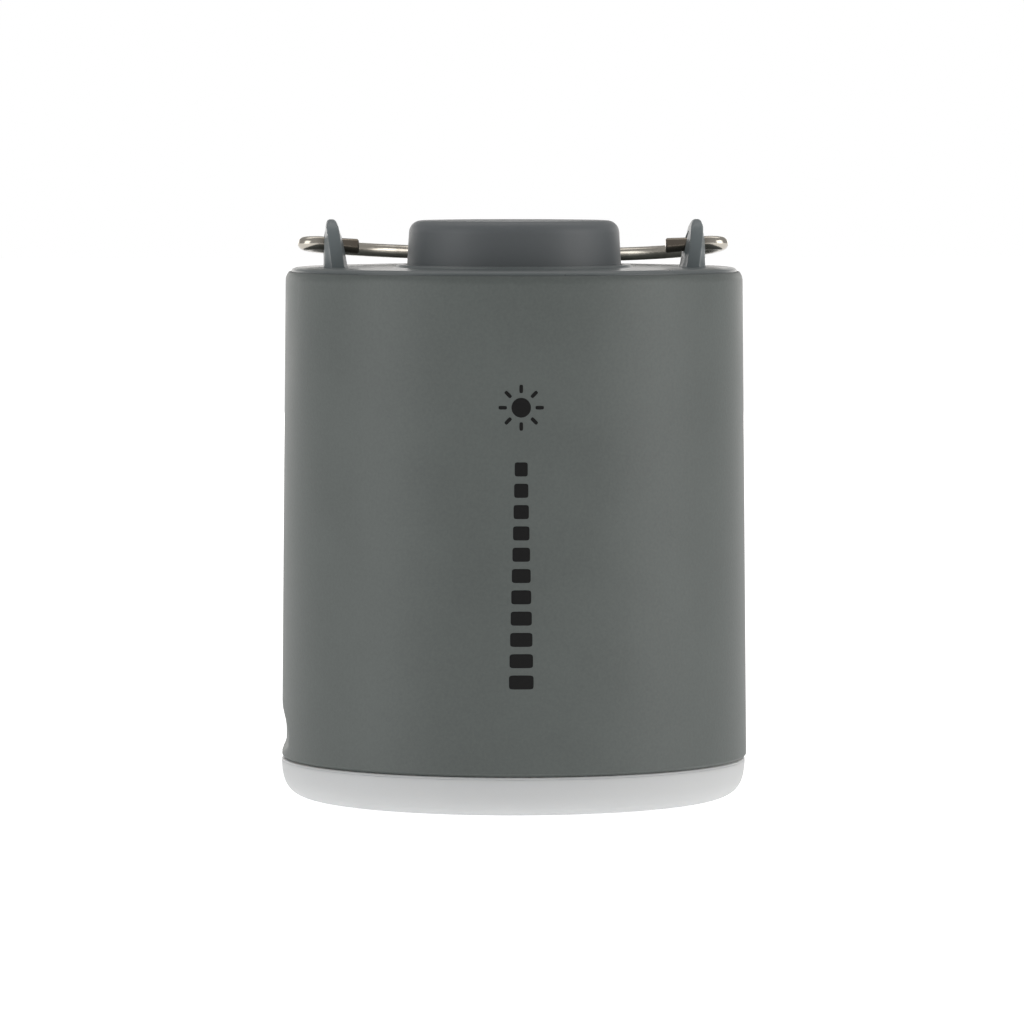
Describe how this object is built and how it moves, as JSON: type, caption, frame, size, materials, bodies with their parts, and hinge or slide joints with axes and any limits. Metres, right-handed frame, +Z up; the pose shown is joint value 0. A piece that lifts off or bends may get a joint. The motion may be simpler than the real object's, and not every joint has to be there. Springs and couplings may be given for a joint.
{
  "type": "camping lantern",
  "caption": "Compact round hanging lantern: grey housing, push button on top, folding wire bail, and a frosted diffuser underneath that pulls off for the cells.",
  "frame": {"origin": "centre of the diffuser's flat underside, on the surface the lantern stands on", "axes": "+Z up along the housing's axis, +X along the bail's hinge axis, -Y towards the front"},
  "size_m": [0.066, 0.066, 0.082],
  "materials": {
    "shell_plastic": "fine satin texture, dark grey",
    "button_plastic": "smooth satin, slightly blue dark grey",
    "diffuser": "frosted white, translucent",
    "bail_steel": "bright nickel plated wire",
    "inner_plastic": "black moulded",
    "white_plastic": "white moulded",
    "cell_sleeve": "plain shrink sleeve",
    "spring_steel": "plated spring wire",
    "contact_brass": "bright",
    "screw_steel": "zinc plated",
    "green_board": "solder resist",
    "white_board": "white solder resist",
    "spreader_aluminium": "brushed",
    "seal_rubber": "matt",
    "led": "clear over phosphor"
  },
  "bodies": {
    "housing": {"body_shell": "shell_plastic", "top_cap": "shell_plastic", "battery_cradle": "inner_plastic", "cell_1": "cell_sleeve", "cell_2": "cell_sleeve", "cell_3": "cell_sleeve", "cell_spring_1": "spring_steel", "cell_spring_3": "spring_steel", "top_contact_1": "contact_brass", "top_contact_2": "contact_brass", "top_contact_3": "contact_brass", "feed_rod": "contact_brass", "cap_screw_1": "screw_steel", "cap_screw_2": "screw_steel", "cap_screw_3": "screw_steel", "switch_board": "green_board", "switch_body": "inner_plastic", "driver_chip": "inner_plastic"},
    "button": {"button_cap": "button_plastic", "switch_plunger": "white_plastic", "button_spring": "spring_steel"},
    "bail": {"bail_wire": "bail_steel"},
    "lamp_head": {"diffuser_lens": "diffuser", "head_ring": "white_plastic", "head_seal": "seal_rubber", "reflector": "white_plastic", "led_board": "white_board", "heat_spreader": "spreader_aluminium", "contact_board": "green_board", "led_1": "led", "led_2": "led", "led_3": "led", "led_4": "led", "led_5": "led", "led_6": "led", "led_7": "led", "contact_pad_1": "contact_brass", "contact_pad_3": "contact_brass", "cell_spring_2": "spring_steel", "head_screw_1": "screw_steel", "head_screw_2": "screw_steel", "head_screw_3": "screw_steel"}
  },
  "joints": [
    {"name": "button_press", "type": "slide", "parent": "housing", "child": "button", "axis": [0, 0, -1], "range_m": [0, 0.0015], "stiffness_N_per_m": 1200, "springref_m": -0.001, "deforming": ["button_spring"]},
    {"name": "bail_swing", "type": "hinge", "parent": "housing", "child": "bail", "pos_m": [0, 0, 0.07865], "axis": [1, 0, 0], "range_deg": [0, 188.5]},
    {"name": "head_pull", "type": "slide", "parent": "housing", "child": "lamp_head", "axis": [0, 0, -1], "range_m": [0, 0.03]}
  ]
}
